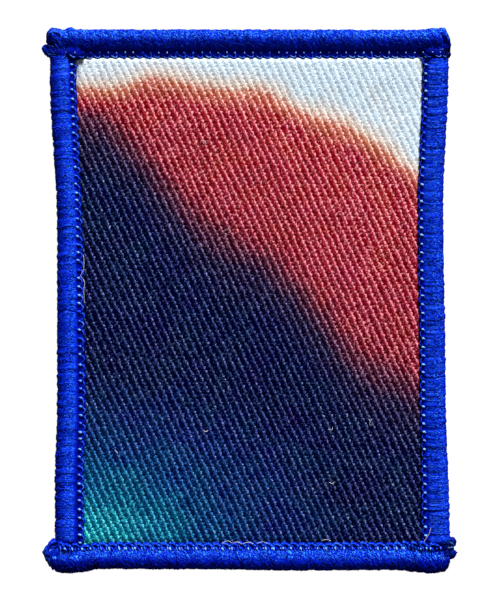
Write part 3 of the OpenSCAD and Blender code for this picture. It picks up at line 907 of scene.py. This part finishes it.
def soft_wander(x, y, size, phase):
    """Smooth wander of the yarns from -1 to 1: three crossed sine waves of about one size in mm."""
    k = 2 * np.pi / size
    return (
        np.sin(k * (x + 0.37 * y) + phase)
        + np.sin(k * 0.71 * (y - 0.52 * x) + 2.1 * phase)
        + np.sin(k * 1.43 * (0.61 * x + y) + 3.7 * phase)
    ) / 3


def pale_edge(x, y):
    """Depth in mm under the edge where the pale print turns red: a wide arch across the patch."""
    arch = 33.7 - 0.0096 * (x + 12) ** 2 + 0.5 * np.sin(0.42 * x + 0.8)
    return arch - y


def dark_edge(x, y):
    """Depth in mm under the edge where the red print turns navy: a falling diagonal with a slow wave."""
    diagonal = 6.6 - 0.87 * x + 1.5 * np.sin(0.27 * x + 0.4)
    return (diagonal - y) * 0.75


def glow(x, y):
    """Share of the glow from the lower left corner, teal there and then blue: it fades over an ellipse."""
    far = np.hypot((x + 27) / 52, (y + 36.5) / 31)
    return np.clip(1 - far, 0, 1)


def cloth_points(settings):
    """The cloth's face on a grid of half an end by half a pick, with wide cells under the borders. It
    lies at the cloth's top, crowned towards its middle, with the twill's relief on it. Returns the
    face's points and quads, the back's points, how many ends and picks lie up to each point, and the
    numbers of the face's points."""
    end, pick = settings.end_spacing / MM, settings.pick_spacing / MM
    dx, dy = end / 2, pick / 2
    columns, rows = 2 * round(FINE_HALF_W / dx), 2 * round(FINE_HALF_H / dy)
    y_fine = (np.arange(rows + 1) - rows / 2) * dy
    y_low, y_top = -HALF_H + CLOTH_INSET + 0.3, HALF_H - CLOTH_INSET
    y = np.concatenate([[y_low, (y_low + y_fine[0]) / 2], y_fine, [(y_top + y_fine[-1]) / 2, y_top]])
    x_fine = (np.arange(columns + 1) - columns / 2) * dx
    left = -edge_at(LEFT_ROWS, y) + CLOTH_INSET
    right = edge_at(RIGHT_ROWS, -y) - CLOTH_INSET
    x = np.concatenate([
        left[:, None],
        (left[:, None] + x_fine[0]) / 2,
        np.broadcast_to(x_fine, (len(y), columns + 1)),
        (right[:, None] + x_fine[-1]) / 2,
        right[:, None],
    ], axis=1)
    y = np.broadcast_to(y[:, None], x.shape)
    from_side = np.minimum(x - left[:, None], right[:, None] - x)
    inside = np.minimum(from_side, np.minimum(y - y_low, y_top - y)) - COVERED
    rise = np.clip(inside / CROWN_REACH, 0, 1)
    crown = CLOTH_CROWN * rise * (2 - rise)
    slack = CLOTH_SLACK * np.sin(np.radians(9 * x + 4 * y))
    crown = crown + slack * np.clip(inside / SLACK_REACH, 0, 1)
    puff = CLOTH_PUFF * (1 + 0.8 * smooth_share(y, *PUFF_RISE))
    crown = np.maximum(crown, puff * smooth_share(inside, -0.4, 0.5))
    ends = (x + 0.035 * soft_wander(x, y, 3.1, 0.4) + 0.06 * soft_wander(x, y, 11, 1.3)) / end
    picks = (y + 0.09 * soft_wander(x, y, 4.3, 2.2) + 0.2 * soft_wander(x, y, 15, 0.9)) / pick
    relief = settings.relief / MM * (twill_relief(ends, picks) - 0.6)
    relief = relief * np.clip(inside + 1.6, 0, 1)
    face = np.stack([x, y, CLOTH_LOW + CLOTH_T + crown + relief], axis=-1)
    corner = np.arange(x.size).reshape(x.shape)
    quads = np.stack([corner[1:, :-1], corner[:-1, :-1], corner[:-1, 1:], corner[1:, 1:]], axis=-1)
    back = np.stack([x, y, CLOTH_LOW + crown], axis=-1)
    return face, quads.reshape(-1, 4), back, ends, picks, corner


def cloth_mesh(settings):
    """Closes the cloth: its face, a back with fewer cells inside its rim, and its rim. Returns the
    points, faces, weave coordinates of each corner, and the print's values at the points."""
    face, quads, back, ends, picks, corner = cloth_points(settings)
    rows, columns = corner.shape
    keep_rows = np.unique(np.append(np.arange(0, rows, BACK_STEP), rows - 1))
    keep_columns = np.unique(np.append(np.arange(0, columns, BACK_STEP), columns - 1))
    behind = corner + corner.size
    inner = behind[np.ix_(keep_rows, keep_columns)]
    cells = np.stack([inner[:-1, :-1], inner[1:, :-1], inner[1:, 1:], inner[:-1, 1:]], axis=-1)
    faces = [quads, cells[1:-1, 1:-1].reshape(-1, 4)]
    # The back's outer cells keep every point of the rim, so each is a polygon of its own
    top, right = len(keep_rows) - 2, len(keep_columns) - 2
    outer = np.ones((top + 1, right + 1), bool)
    outer[1:-1, 1:-1] = False
    for i, j in np.argwhere(outer):
        low, high = keep_rows[i], keep_rows[i + 1]
        near, far = keep_columns[j], keep_columns[j + 1]
        west = behind[low : high + 1, near] if j == 0 else behind[[low, high], near]
        north = behind[high, near : far + 1] if i == top else behind[high, [near, far]]
        east = behind[low : high + 1, far] if j == right else behind[[low, high], far]
        south = behind[low, near : far + 1] if i == 0 else behind[low, [near, far]]
        faces.append(np.concatenate([west[:-1], north[:-1], east[:0:-1], south[:0:-1]])[None])
    rim = np.concatenate([corner[0, :-1], corner[:-1, -1], corner[-1, :0:-1], corner[:0:-1, 0]])
    after = np.roll(rim, -1)
    faces.append(np.stack([rim, rim + corner.size, after + corner.size, after], axis=-1))
    points = np.concatenate([face.reshape(-1, 3), back.reshape(-1, 3)])
    used = np.zeros(len(points), bool)
    for group in faces:
        used[group.ravel()] = True
    number = np.cumsum(used) - 1
    faces = [number[group] for group in faces]
    points = points[used]
    weave = np.stack([ends, picks], axis=-1).reshape(-1, 2)
    weave = np.concatenate([weave, weave])[used]
    uv = np.concatenate([weave[group.ravel()] for group in faces])
    x, y = points[:, 0], points[:, 1]
    red = smooth_share(pale_edge(x, y), -3.2, 5.2)
    dark = smooth_share(dark_edge(x, y), -5, 9)
    fade = 0.5 * (red + dark) + (0.004 * (14 - y) - 0.0022 * x) * red * (1 - dark)
    # Only the face is printed: the back is pale cloth
    printed = np.nonzero(used)[0] < corner.size
    return points, faces, uv, {"fade": fade * printed, "glow": glow(x, y) * printed}


def printed_twill():
    """Cotton and polyester 3/1 twill, dye printed on its face and matt. The pits between the wales, one
    for each warp end, are dark partly from ink that lies deep in them and partly from painted shade; the
    crest of each wale, on its side towards the key light, is light partly from rubbing and partly from a
    painted highlight."""
    made, tree, shader = new_material("printed cotton-polyester twill")
    x, y, _ = node(tree, "SeparateXYZ", node(tree, "UVMap", uv_map="weave")).node.outputs
    place = node(tree, "TexCoord", out="Object")
    # Fibres 0.28 mm, slubs 0.53 mm, grain 0.17 mm, and clouds of dye 3.8 mm and 3.3 mm across
    fuzz, slub, grain, mottle, uneven_dye = (
        node(tree, "TexNoise", inputs={"Vector": place, "Scale": scale, "Detail": detail})
        for scale, detail in ((3600.0, 2.0), (1900.0, 2.0), (6000.0, 0.0), (260.0, 3.0), (300.0, 3.0))
    )

    def chances(first, second):
        """Three random numbers for each whole number of ends and of repeats."""
        cell = [node(tree, "Math", value, operation="FLOOR") for value in (first, second)]
        cell = node(tree, "CombineXYZ", *cell)
        noise = node(tree, "TexWhiteNoise", cell, noise_dimensions="2D", out="Color")
        return node(tree, "SeparateColor", noise).node.outputs

    # Yarns stray by about a sixth of their spacing, and rows of pits by a twentieth of a repeat
    stray = node(tree, "Math", slub, 0.8, -0.4, operation="MULTIPLY_ADD")
    ends = node(tree, "Math", x, stray, operation="ADD")
    row = node(tree, "Math", y, x, operation="ADD")
    row = node(tree, "Math", row, -0.5, operation="ADD")
    row = node(tree, "Math", row, -4.0, operation="DIVIDE")
    stray = node(tree, "Math", fuzz, 0.32, -0.16, operation="MULTIPLY_ADD")
    row = node(tree, "Math", row, stray, operation="ADD")
    half_off = node(tree, "Math", row, 0.5, operation="ADD")
    past = node(tree, "Math", half_off, operation="FRACT")
    past = node(tree, "Math", past, 0.5, operation="SUBTRACT")
    along = node(tree, "Math", past, PIT_SHEAR, ends, operation="MULTIPLY_ADD")
    # Pits differ in size and depth
    pit_chance = chances(along, half_off)
    across = node(tree, "Math", past, PIT_ACROSS, operation="DIVIDE")
    across = node(tree, "Math", across, 2.0, operation="POWER")
    off_end = node(tree, "Math", along, operation="FRACT")
    off_end = node(tree, "Math", off_end, 0.5, operation="SUBTRACT")
    off_end = node(tree, "Math", off_end, PIT_ALONG, operation="DIVIDE")
    off_end = node(tree, "Math", off_end, 2.0, operation="POWER")
    off_pit = node(tree, "Math", across, off_end, operation="ADD")
    off_pit = node(tree, "Math", pit_chance[0], 0.8, off_pit, operation="MULTIPLY_ADD")
    off_pit = node(tree, "MapRange", off_pit, 0.85, 1.65, **SMOOTH)
    shallow = node(tree, "MapRange", pit_chance[1], 0.6, 1.0, 0.0, 0.8, **SMOOTH)
    off_pit = node(tree, "Math", off_pit, shallow, operation="MAXIMUM")
    below = node(tree, "Math", row, operation="FRACT")
    # The ground also gets painted shade in the row of pits and low on each wale, away from the key light,
    # and is darker in pinholes of two sizes
    ground = off_pit
    for share in (
        node(tree, "MapRange", across, 0.3, 1.3, 0.75, 1.0, **SMOOTH),
        node(tree, "MapRange", fuzz, 0.31, 0.45, 0.1, 1.0, **SMOOTH),
        node(tree, "MapRange", grain, 0.3, 0.6, 0.5, 1.0, **SMOOTH),
        node(tree, "MapRange", below, 0.4, 1.0, 1.0, 0.72, **SMOOTH),
    ):
        ground = node(tree, "Math", ground, share, operation="MULTIPLY")
    # A float ends in a knob between two pits, which comes nearer to their row than the crest does; the
    # knob is lighter, a painted highlight where the float rises towards the key light
    knob_place = node(tree, "Math", along, -0.35, operation="ADD")
    knob_chance = chances(knob_place, row)
    knob = node(tree, "Math", knob_place, operation="FRACT")
    knob = node(tree, "Math", knob, 0.5, operation="SUBTRACT")
    knob = node(tree, "Math", knob, operation="ABSOLUTE")
    below = node(tree, "Math", knob, -0.3, below, operation="MULTIPLY_ADD")
    below = node(tree, "Math", knob_chance[0], 0.14, below, operation="MULTIPLY_ADD")
    crest = node(tree, "MapRange", below, 0.16, 0.26, **SMOOTH)
    for share in (
        node(tree, "MapRange", below, 0.3, 0.52, 1.0, 0.0, **SMOOTH),
        node(tree, "MapRange", knob, 0.05, 0.48, 1.4, 0.12, **SMOOTH),
        node(tree, "Math", knob_chance[1], 0.9, 0.55, operation="MULTIPLY_ADD"),
        node(tree, "Math", grain, 2.8, -0.4, operation="MULTIPLY_ADD"),
    ):
        crest = node(tree, "Math", crest, share, operation="MULTIPLY")
    height = node(tree, "Math", crest, 0.3, ground, operation="MULTIPLY_ADD")
    for noise, much in ((fuzz, 1.5), (grain, 0.9)):
        rough = node(tree, "Math", noise, 0.5, operation="SUBTRACT")
        height = node(tree, "Math", rough, much, height, operation="MULTIPLY_ADD")
    fade = node(tree, "Attribute", attribute_name="fade", out="Fac")
    glow_share = node(tree, "Attribute", attribute_name="glow", out="Fac")
    # Dye spreads in clouds, and a little further in the depth of the weave
    clouds = node(tree, "Math", mottle, 0.5, operation="SUBTRACT")
    spread = node(tree, "Math", clouds, 0.16, fade, operation="MULTIPLY_ADD")
    depth = node(tree, "Math", 0.8, height, operation="SUBTRACT")
    spread = node(tree, "Math", depth, 0.03, spread, operation="MULTIPLY_ADD")
    glow_here = node(tree, "Math", clouds, 0.2, glow_share, operation="MULTIPLY_ADD")
    glow_share = node(tree, "MapRange", glow_here, 0.1, 0.46, **SMOOTH)
    print_places = (0.0, 0.15, 0.26, 0.44, 0.56, 0.66, 0.8, 1.0)
    glow_places = (0.42, 0.57, 0.74, 0.9)

    def ink(print_colours, glow_colours):
        """Colour of the print, and of the glow over it, each from a row of colours."""
        stops = [(at, linear(colour)) for at, colour in zip(print_places, print_colours)]
        printed = node(tree, "ValToRGB", spread, stops=stops)
        stops = [(at, linear(colour)) for at, colour in zip(glow_places, glow_colours)]
        glowing = node(tree, "ValToRGB", glow_here, stops=stops)
        return node(tree, "Mix", glow_share, printed, glowing, data_type="RGBA")

    # The deep colours go in the pits, partly ink and partly painted shade; the light ones on the crests and
    # fluff, partly rubbed and partly painted highlight
    deep = ink(
        ("#9cb2c6", "#b09c92", "#a04428", "#6c0002", "#4e0008", "#28000a", "#0a000a", "#000018"),
        ("#00032a", "#000a34", "#002848", "#004258"),
    )
    middle = ink(
        ("#dcf0fe", "#e8d8cc", "#d07a68", "#ac1630", "#80122c", "#4a1430", "#10082a", "#00042e"),
        ("#06184e", "#04285c", "#044a78", "#08849e"),
    )
    light = ink(
        ("#ecfcff", "#fff4ea", "#ffd8c6", "#ffa0a8", "#f68a9a", "#b0748a", "#605886", "#384a88"),
        ("#345cac", "#2a7ac0", "#34b4d6", "#5cfafa"),
    )
    # Fluff lies on the wales and less in the pits
    fluff_and_glints = node(tree, "MapRange", fuzz, 0.56, 0.66, **SMOOTH)
    on_wale = node(tree, "Math", off_pit, 0.4, 0.22, operation="MULTIPLY_ADD")
    fluff_and_glints = node(tree, "Math", fluff_and_glints, on_wale, operation="MULTIPLY")
    # Fibres on the crests of the dark print catch the light in small pale sparks
    spark = node(tree, "MapRange", grain, 0.56, 0.7, 0.0, 0.22, **SMOOTH)
    spark = node(tree, "Math", spark, crest, operation="MULTIPLY")
    dark_print = node(tree, "MapRange", spread, 0.55, 0.75, **SMOOTH)
    spark = node(tree, "Math", spark, dark_print, operation="MULTIPLY")
    colour = deep
    for share, over in ((ground, middle), (crest, light), (fluff_and_glints, light), (spark, linear("#b4c0ff"))):
        colour = node(tree, "Mix", share, colour, over, data_type="RGBA")
    # The dyes take unevenly: the dark print wanders between violet and green blue, the red one hardly
    hue = node(tree, "Math", uneven_dye, 0.5, operation="SUBTRACT")
    wander = node(tree, "MapRange", spread, 0.5, 0.8, 0.03, 0.07, **SMOOTH)
    hue = node(tree, "Math", hue, wander, 0.5, operation="MULTIPLY_ADD")
    colour = node(tree, "HueSaturation", inputs={"Hue": hue, "Color": colour})
    tree.links.new(colour, shader.inputs["Base Color"])
    shader.inputs["Roughness"].default_value = 0.85
    shader.inputs["Specular IOR Level"].default_value = 0.0
    bump = node(tree, "Bump", inputs={"Strength": 1.0, "Distance": 0.025 * MM, "Height": height})
    tree.links.new(bump, shader.inputs["Normal"])
    return made


class ClothSettings(bpy.types.PropertyGroup):
    """Sizes of the printed twill"""

    end_spacing: bpy.props.FloatProperty(
        name="End spacing", description="Distance between two warp ends",
        default=0.28 * MM, unit="LENGTH", precision=5,
    )
    pick_spacing: bpy.props.FloatProperty(
        name="Pick spacing", description="Distance between two picks",
        default=0.605 * MM, unit="LENGTH", precision=5,
    )
    relief: bpy.props.FloatProperty(
        name="Relief", description="Depth from a float's crest to a pit",
        default=0.022 * MM, unit="LENGTH", precision=5,
    )


class BorderSettings(bpy.types.PropertyGroup):
    """Sizes and colours of the border thread"""

    strands: bpy.props.IntProperty(
        name="Strands", description="Strands that one stitch lays side by side", default=5, min=2, max=6
    )
    strand_height: bpy.props.FloatProperty(
        name="Strand height", description="How far a strand stands out",
        default=0.05 * MM, unit="LENGTH", precision=5,
    )
    loose_fibres: bpy.props.FloatProperty(
        name="Loose fibres", description="Loose fibres on each millimetre of a border", default=22.0, min=0
    )
    thread_colour: bpy.props.FloatVectorProperty(
        name="Thread", description="Colour of the border thread", default=linear("#031ac6"), subtype="COLOR"
    )
    # Painted shade: the thread's colour at low tones, between its strands and in its troughs
    thread_deep: bpy.props.FloatVectorProperty(
        name="Deep thread", description="Colour of the thread between its strands",
        default=linear("#000698"), subtype="COLOR",
    )
    thread_lit: bpy.props.FloatVectorProperty(
        name="Light thread", description="Colour of the lightest strands",
        default=linear("#1246ea"), subtype="COLOR",
    )
    thread_glint: bpy.props.FloatVectorProperty(
        name="Glint", description="Colour of fibres that catch the light",
        default=linear("#3ea2ff"), subtype="COLOR",
    )


class StageSettings(bpy.types.PropertyGroup):
    """Light and floor of the studio"""

    key_height: bpy.props.FloatProperty(
        name="Key height", description="Angle of the key light above the floor",
        default=radians(25), subtype="ANGLE",
    )
    key_turn: bpy.props.FloatProperty(
        name="Key turn", description="Angle of the key light from the patch's top to its right",
        default=radians(15), subtype="ANGLE",
    )
    key_strength: bpy.props.FloatProperty(
        name="Key strength", description="Strength of the key light", default=7.4, min=0
    )
    fill_strength: bpy.props.FloatProperty(
        name="Fill", description="Strength of the even fill light", default=0.14, min=0
    )
    floor_glow: bpy.props.FloatProperty(
        name="Floor glow", description="Light that the white floor gives of itself", default=1.0
    )


class PATCH_OT_cloth(bpy.types.Operator):
    """Adds the printed twill in place of the cloth's solid"""

    bl_idname = "patch.cloth"
    bl_label = "Add printed cloth"

    def execute(self, context):
        settings = context.scene.patch_cloth
        points, faces, uv, values = cloth_mesh(settings)
        piece = new_piece("printed_cloth", points, faces, {"weave": uv}, values)
        dress(piece, printed_twill(), ["ground_cloth"])
        return {"FINISHED"}


class PATCH_OT_borders(bpy.types.Operator):
    """Adds the four overedged borders in place of their solids"""

    bl_idname = "patch.borders"
    bl_label = "Add thread borders"

    def execute(self, context):
        settings = context.scene.patch_border
        material = rayon_thread(settings, "rayon embroidery thread", 0)
        for number, run in enumerate(RUNS):
            draw = np.random.default_rng(11 + number)
            skin, chain = border_skin(run, settings, draw), chain_row(run, draw)
            parts = [skin, chain, loose_fibres(run, settings, draw)]
            piece = thread_piece(f"border_{run}_thread", *joined(parts))
            dress(piece, material, [f"border_{run}"])
        return {"FINISHED"}


class PATCH_OT_ends(bpy.types.Operator):
    """Adds the cut and sealed thread ends at the corners in place of their solids"""

    bl_idname = "patch.ends"
    bl_label = "Add thread ends"

    def execute(self, context):
        settings = context.scene.patch_border
        cut = rayon_thread(settings, "cut rayon thread", 0.15)
        knotted = rayon_thread(settings, "knotted rayon thread", 0.72)
        sealed = rayon_thread(settings, "heat-sealed rayon thread", 0.85)
        for number, end in enumerate(THREAD_ENDS):
            draw = np.random.default_rng(31 + number)
            piece = thread_piece(f"{end}_thread", *thread_end(end, draw))
            material = sealed if end == "tail_top_right" else knotted if end.startswith("knot") else cut
            dress(piece, material, [end])
        return {"FINISHED"}


class PATCH_OT_lint(bpy.types.Operator):
    """Adds the loose fibres that lie on the patch"""

    bl_idname = "patch.lint"
    bl_label = "Add lint"

    def execute(self, context):
        points, faces, _, uv = lint_fibres()
        piece = new_piece("lint_fibres", points, faces, {"thread": uv}, {})
        dress(piece, wool_lint("loose wool fibre"))
        return {"FINISHED"}


class PATCH_OT_stage(bpy.types.Operator):
    """Adds the white floor, the studio light and the camera that looks straight down"""

    bl_idname = "patch.stage"
    bl_label = "Add stage"

    def execute(self, context):
        settings = context.scene.patch_stage
        scene = context.scene
        corners = FLOOR_HALF * np.array([(-1, -1), (1, -1), (1, 1), (-1, 1)])
        corners = np.column_stack([corners, np.full(4, FLOOR_LEVEL)])
        floor = new_piece("studio_floor", corners, [np.array([[0, 1, 2, 3]])], {}, {})
        # Plain paper, lit until it is white: most of its light is its own, so that it stays even
        paper, _, shader = new_material("white studio paper")
        shader.inputs["Base Color"].default_value = (0.1, 0.1, 0.1, 1)
        shader.inputs["Roughness"].default_value = 0.9
        shader.inputs["Emission Color"].default_value = (1, 1, 1, 1)
        shader.inputs["Emission Strength"].default_value = settings.floor_glow
        floor.data.materials.append(paper)
        floor.visible_diffuse = False
        floor.visible_glossy = False
        world = bpy.data.worlds.new("studio")
        world.use_nodes = True
        background = world.node_tree.nodes["Background"]
        background.inputs["Color"].default_value = (1, 1, 1, 1)
        background.inputs["Strength"].default_value = settings.fill_strength
        scene.world = world
        # The even fill isn't mirrored in the thread, whose specular glints come from the key light alone;
        # its brightest glints are painted into its colour
        world.cycles_visibility.glossy = False
        key = bpy.data.objects.new("key_light", bpy.data.lights.new("key_light", "SUN"))
        key.data.energy = settings.key_strength
        key.data.angle = radians(12)
        key.rotation_euler = (radians(-90) + settings.key_height, 0, -settings.key_turn)
        scene.collection.objects.link(key)
        camera = bpy.data.objects.new("camera", bpy.data.cameras.new("camera"))
        camera.data.sensor_fit = "HORIZONTAL"
        camera.data.sensor_width = 36
        camera.data.lens = 240
        camera.location = CAMERA_PLACE * MM
        scene.collection.objects.link(camera)
        scene.camera = camera
        scene.view_settings.view_transform = "Standard"
        return {"FINISHED"}


STEPS = ("cloth", "borders", "ends", "lint", "stage")


class PATCH_PT_pieces(bpy.types.Panel):
    """Lists the steps that build the patch"""

    bl_idname = "PATCH_PT_pieces"
    bl_label = "Clothing patch"
    bl_space_type = "VIEW_3D"
    bl_region_type = "UI"
    bl_category = "Patch"

    def draw(self, context):
        for step in STEPS:
            self.layout.operator(f"patch.{step}")


CLASSES = (
    ClothSettings,
    BorderSettings,
    StageSettings,
    PATCH_OT_cloth,
    PATCH_OT_borders,
    PATCH_OT_ends,
    PATCH_OT_lint,
    PATCH_OT_stage,
    PATCH_PT_pieces,
)


def register():
    for made in CLASSES:
        bpy.utils.register_class(made)
    bpy.types.Scene.patch_cloth = bpy.props.PointerProperty(type=ClothSettings)
    bpy.types.Scene.patch_border = bpy.props.PointerProperty(type=BorderSettings)
    bpy.types.Scene.patch_stage = bpy.props.PointerProperty(type=StageSettings)


def unregister():
    del bpy.types.Scene.patch_stage
    del bpy.types.Scene.patch_border
    del bpy.types.Scene.patch_cloth
    for made in reversed(CLASSES):
        bpy.utils.unregister_class(made)


def main():
    register()
    for step in STEPS:
        getattr(bpy.ops.patch, step)()


if __name__ == "__main__":
    main()
